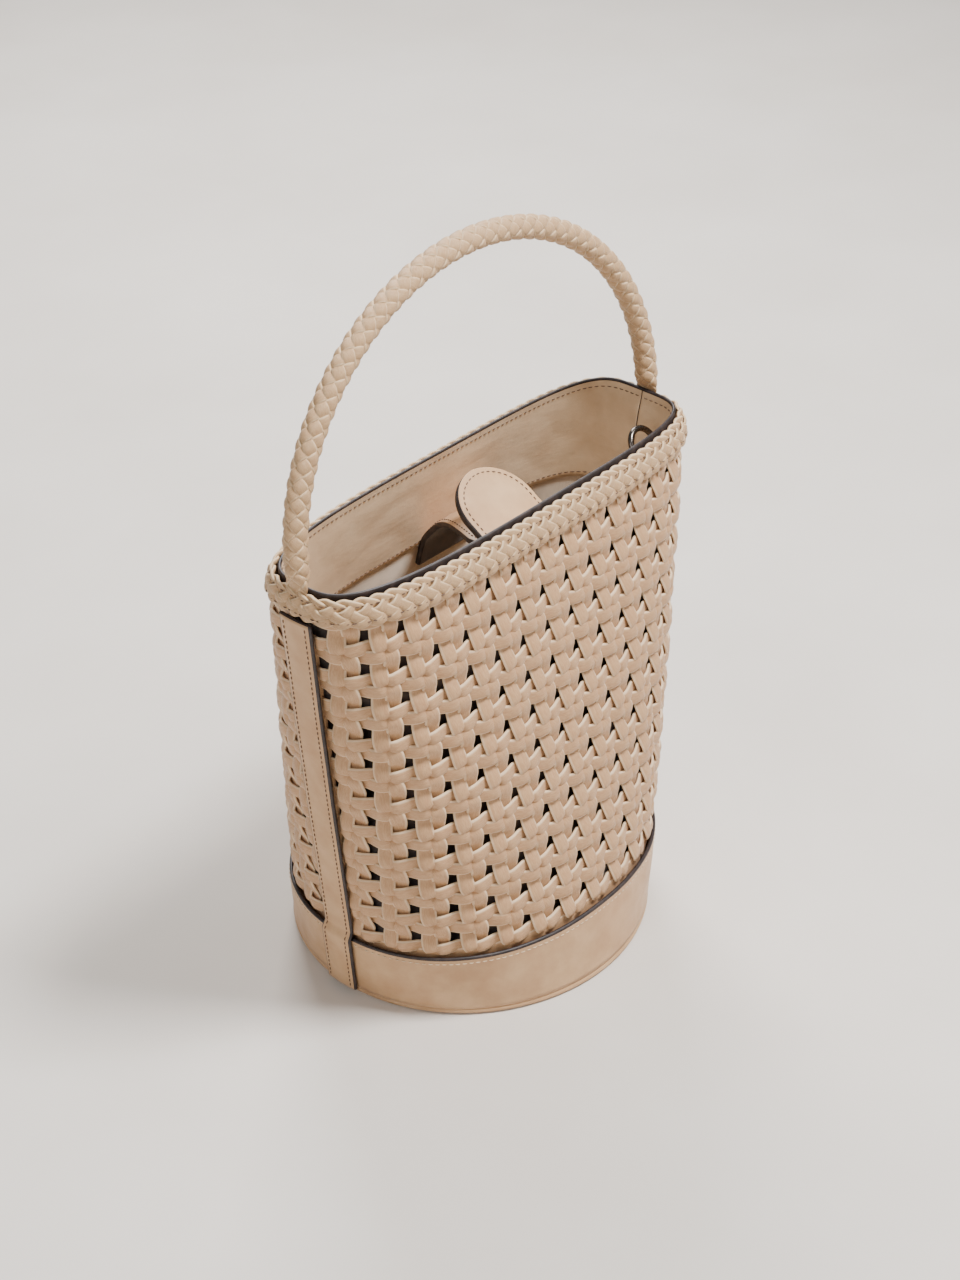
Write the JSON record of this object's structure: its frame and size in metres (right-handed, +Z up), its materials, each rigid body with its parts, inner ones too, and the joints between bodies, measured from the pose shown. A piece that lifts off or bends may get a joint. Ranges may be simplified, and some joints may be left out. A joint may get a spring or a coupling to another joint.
{
  "type": "bucket bag",
  "caption": "Small leather bucket bag: woven strip walls on a smooth oval base, braided mouth edge, braided top handle, tab and strap closure.",
  "frame": {"origin": "on the floor under the middle of the bag's bounding box", "axes": "+Z up; X along the mouth, with the D-ring at the +X end; the front wall, which carries the tab, faces -Y"},
  "size_m": [0.246, 0.1756, 0.3698],
  "materials": {
    "woven_leather": "soft beige leather strips with cut edges",
    "smooth_leather": "smooth beige leather, dark painted edges",
    "facing_leather": "smooth beige leather, matt",
    "lining_fabric": "grey-brown brushed cotton",
    "base_board": "pressed fibre board",
    "core_cord": "twisted cotton cord",
    "dark_nickel": "dark nickel plating"
  },
  "bodies": {
    "bag": {"base_panel": "smooth_leather", "base_stiffener": "base_board", "lining_base": "lining_fabric", "base_piping": "smooth_leather", "base_band_front": "smooth_leather", "base_band_back": "smooth_leather", "woven_panel_front": "woven_leather", "woven_panel_back": "woven_leather", "lining_front": "lining_fabric", "lining_back": "lining_fabric", "facing_front": "facing_leather", "facing_back": "facing_leather", "side_strip_left": "smooth_leather", "side_strip_right": "smooth_leather", "side_backing_left": "smooth_leather", "side_backing_right": "smooth_leather", "handle_end_left": "woven_leather", "handle_end_right": "woven_leather", "rim_braid": "woven_leather", "tab_anchor": "smooth_leather", "strap_anchor": "smooth_leather", "ring_loop": "smooth_leather"},
    "handle": {"handle_braid": "woven_leather", "handle_core": "core_cord"},
    "tab": {"tab_face": "smooth_leather", "tab_backing": "smooth_leather", "tab_snap": "dark_nickel"},
    "strap": {"strap_face": "smooth_leather", "strap_backing": "smooth_leather", "strap_snap": "dark_nickel"},
    "ring": {"d_ring": "dark_nickel"}
  },
  "joints": [
    {"name": "handle_swing", "type": "hinge", "parent": "bag", "child": "handle", "pos_m": [0, -0.014, 0.2576], "axis": [1, 0, 0], "range_deg": [-74, 86]},
    {"name": "tab_fold", "type": "hinge", "parent": "bag", "child": "tab", "pos_m": [-0.003, -0.0451, 0.2284], "axis": [1, 0, 0], "range_deg": [0, 34]},
    {"name": "strap_fold", "type": "hinge", "parent": "bag", "child": "strap", "pos_m": [0.023, 0.0287, 0.198], "axis": [1, 0, 0], "range_deg": [0, 95]},
    {"name": "ring_turn", "type": "hinge", "parent": "bag", "child": "ring", "pos_m": [0.0945, -0.0338, 0.2324], "axis": [1, 0, 0], "range_deg": [-145, 45]}
  ]
}
